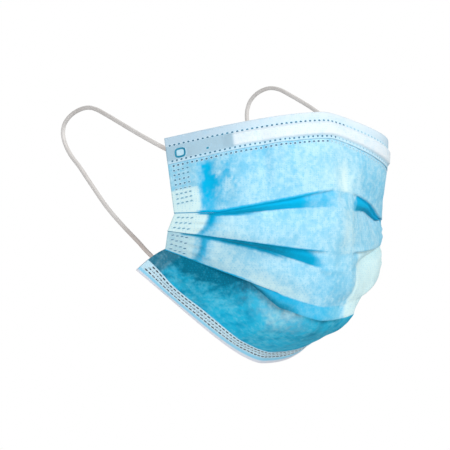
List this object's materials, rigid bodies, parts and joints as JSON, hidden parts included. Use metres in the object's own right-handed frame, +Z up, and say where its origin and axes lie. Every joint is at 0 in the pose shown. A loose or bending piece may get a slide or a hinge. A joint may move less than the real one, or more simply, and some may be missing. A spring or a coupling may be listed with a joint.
{
  "type": "pleated surgical face mask",
  "caption": "Pleated surgical face mask opened as worn, with hemmed edges, a nose wire in its channel, welded sides and elastic loops for the ears.",
  "frame": {"origin": "where the face fills the mask: on the centre plane, level with the mouth and in line with the two top corners", "axes": "+X towards the wearer's left, -Y forward out of the face, +Z up"},
  "size_m": [0.143, 0.1518, 0.1585],
  "materials": {
    "blue_nonwoven": "matt spun-bonded fibre cloth",
    "hem_nonwoven": "matt pale fibre cloth with pressed dots",
    "wire_coat": "matt coated wire",
    "elastic": "fine knitted round elastic"
  },
  "bodies": {
    "root": {"mask_body": "blue_nonwoven", "top_hem": "hem_nonwoven", "bottom_hem": "hem_nonwoven", "nose_wire": "wire_coat", "ear_loop_right": "elastic", "ear_loop_left": "elastic"}
  },
  "joints": []
}
